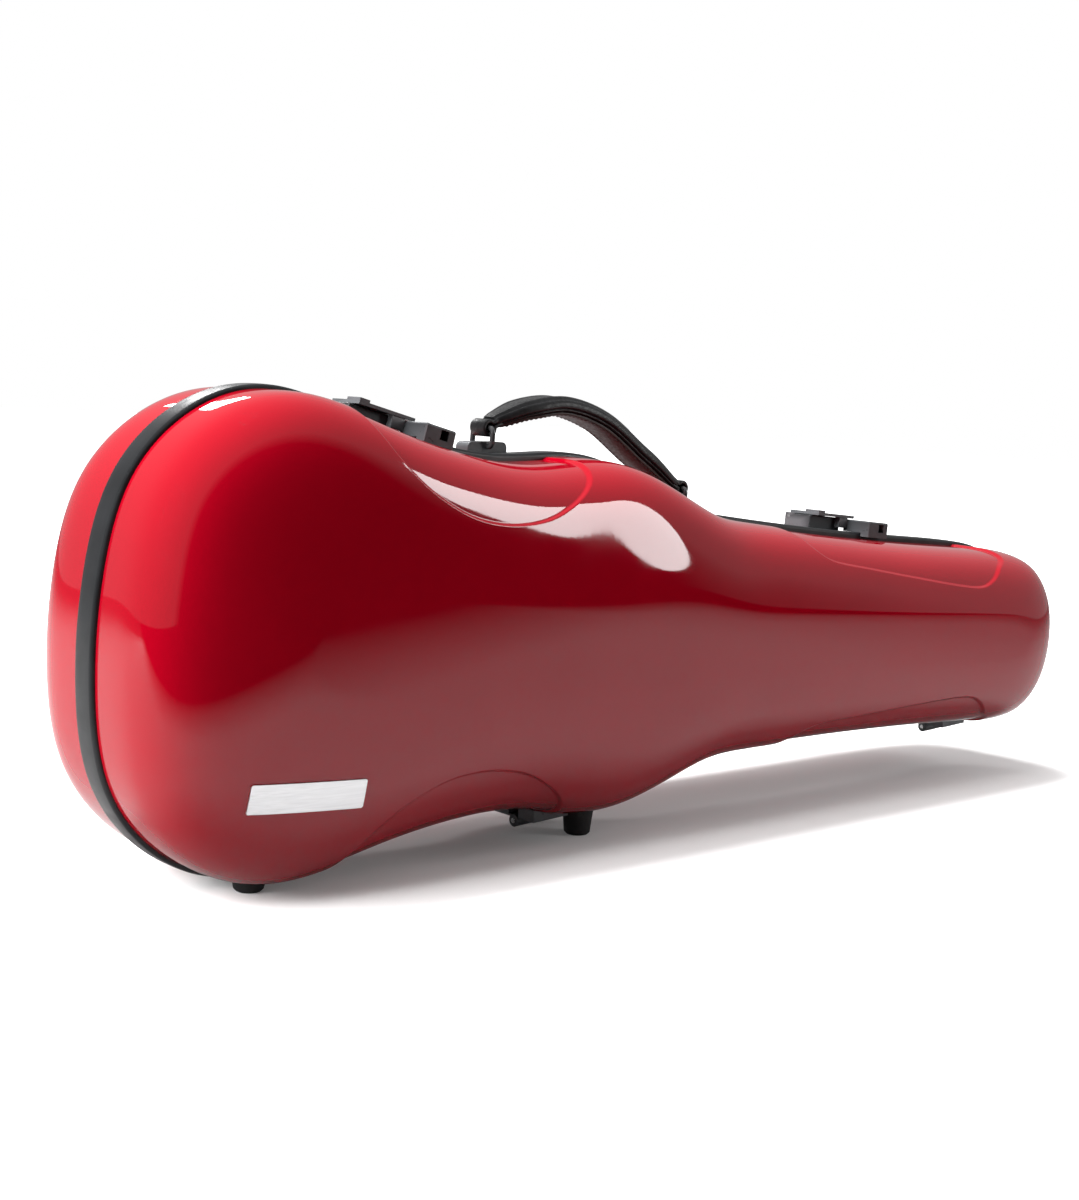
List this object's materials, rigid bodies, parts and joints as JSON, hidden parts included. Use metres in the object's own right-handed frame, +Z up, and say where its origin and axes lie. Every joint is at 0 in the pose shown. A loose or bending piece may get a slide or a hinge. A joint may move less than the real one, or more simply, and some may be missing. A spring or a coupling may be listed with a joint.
{
  "type": "violin case",
  "caption": "Shaped hard violin case with a side-hinged lid, seam band, flip latches, carrying handle and plush-lined instrument recess.",
  "frame": {"origin": "on the floor under the middle of the case's length and depth", "axes": "+X towards the neck end along the floor, +Y from the lid towards the base, +Z up; the case stands on its long edge"},
  "size_m": [0.7792, 0.1644, 0.2662],
  "materials": {
    "red_shell": "glossy lacquered composite",
    "band": "satin black",
    "hardware": "satin black moulded plastic",
    "steel": "plain",
    "black_wire": "gloss black wire",
    "rubber": "matt",
    "grip": "black grained leather over padding",
    "plush": "short grey plush",
    "webbing": "black woven",
    "label": "satin"
  },
  "bodies": {
    "base": {"base_shell": "red_shell", "seam_band": "band", "base_lining": "plush", "lower_suspension_pad": "plush", "upper_suspension_pad": "plush", "neck_cradle": "plush", "neck_strap_anchor": "webbing", "accessory_tray": "hardware", "waist_hinge_base_leaf": "hardware", "neck_hinge_base_leaf": "hardware", "waist_hinge_pin": "steel", "neck_hinge_pin": "steel", "waist_latch_housing": "hardware", "neck_latch_housing": "hardware", "waist_latch_pin": "steel", "neck_latch_pin": "steel", "front_handle_mount": "hardware", "rear_handle_mount": "hardware", "base_lower_bumper": "rubber", "base_waist_bumper": "rubber", "lower_carry_anchor": "hardware", "upper_carry_anchor": "hardware"},
    "lid": {"lid_shell": "red_shell", "lid_seal": "rubber", "lid_lining": "plush", "upper_bow_clip_base": "hardware", "lower_bow_clip_base": "hardware", "upper_bow_loop": "webbing", "lower_bow_loop": "webbing", "waist_hinge_lid_leaf": "hardware", "neck_hinge_lid_leaf": "hardware", "waist_latch_keeper": "hardware", "neck_latch_keeper": "hardware", "lid_lower_bumper": "rubber", "lid_waist_bumper": "rubber", "label_plate": "label"},
    "waist_latch": {"waist_latch_lever": "hardware"},
    "neck_latch": {"neck_latch_lever": "hardware"},
    "front_ring": {"front_handle_ring": "black_wire"},
    "rear_ring": {"rear_handle_ring": "black_wire"},
    "handle": {"handle_grip": "grip"},
    "upper_spinner": {"upper_bow_spinner": "hardware"},
    "lower_spinner": {"lower_bow_spinner": "hardware"},
    "strap": {"neck_strap": "webbing"},
    "accessory_panel": {"accessory_lid": "plush", "accessory_pull_tab": "webbing"},
    "lower_ring": {"lower_carry_ring": "black_wire"},
    "upper_ring": {"upper_carry_ring": "black_wire"}
  },
  "joints": [
    {"name": "lid_hinge", "type": "hinge", "parent": "base", "child": "lid", "pos_m": [-0.09372, -0.014, 0.01142], "axis": [0.9986, 0, 0.0523], "range_deg": [0, 100]},
    {"name": "waist_latch_flip", "type": "hinge", "parent": "base", "child": "waist_latch", "pos_m": [-0.21263, 0.02325, 0.25018], "axis": [-0.9744, 0, 0.225], "range_deg": [0, 105]},
    {"name": "neck_latch_flip", "type": "hinge", "parent": "base", "child": "neck_latch", "pos_m": [0.18919, 0.02325, 0.18837], "axis": [-0.9973, 0, 0.0735], "range_deg": [0, 105]},
    {"name": "front_ring_swing", "type": "hinge", "parent": "base", "child": "front_ring", "pos_m": [-0.12529, 0.01175, 0.23346], "axis": [0, 1, 0], "range_deg": [-15, 15]},
    {"name": "rear_ring_swing", "type": "hinge", "parent": "base", "child": "rear_ring", "pos_m": [0.04225, 0.01175, 0.19853], "axis": [0, 1, 0], "range_deg": [-15, 15]},
    {"name": "handle_swing", "type": "hinge", "parent": "front_ring", "child": "handle", "pos_m": [-0.12477, 0.01175, 0.24445], "axis": [0, 1, 0], "range_deg": [-15, 15]},
    {"name": "upper_spinner_turn", "type": "hinge", "parent": "lid", "child": "upper_spinner", "pos_m": [-0.1807, -0.05375, 0.16249], "axis": [0, 1, 0], "range_deg": [0, 90]},
    {"name": "lower_spinner_turn", "type": "hinge", "parent": "lid", "child": "lower_spinner", "pos_m": [-0.1839, -0.05375, 0.09457], "axis": [0, 1, 0], "range_deg": [0, 90]},
    {"name": "neck_strap_lift", "type": "hinge", "parent": "base", "child": "strap", "pos_m": [0.04183, -0.00525, 0.14719], "axis": [-0.9989, 0, 0.0471], "range_deg": [0, 90]},
    {"name": "accessory_lid_lift", "type": "hinge", "parent": "base", "child": "accessory_panel", "pos_m": [0.29537, -0.00495, 0.106], "axis": [-0.0471, 0, -0.9989], "range_deg": [0, 85]},
    {"name": "lower_carry_ring_fold", "type": "hinge", "parent": "base", "child": "lower_ring", "pos_m": [-0.2692, 0.07895, 0.13263], "axis": [0.0471, 0, 0.9989], "range_deg": [0, 150]},
    {"name": "upper_carry_ring_fold", "type": "hinge", "parent": "base", "child": "upper_ring", "pos_m": [0.25222, 0.07895, 0.10804], "axis": [0.0471, 0, 0.9989], "range_deg": [0, 150]}
  ],
  "couplings": [
    {"joint": "rear_ring_swing", "follows": "front_ring_swing", "ratio": 1},
    {"joint": "handle_swing", "follows": "front_ring_swing", "ratio": -1}
  ]
}
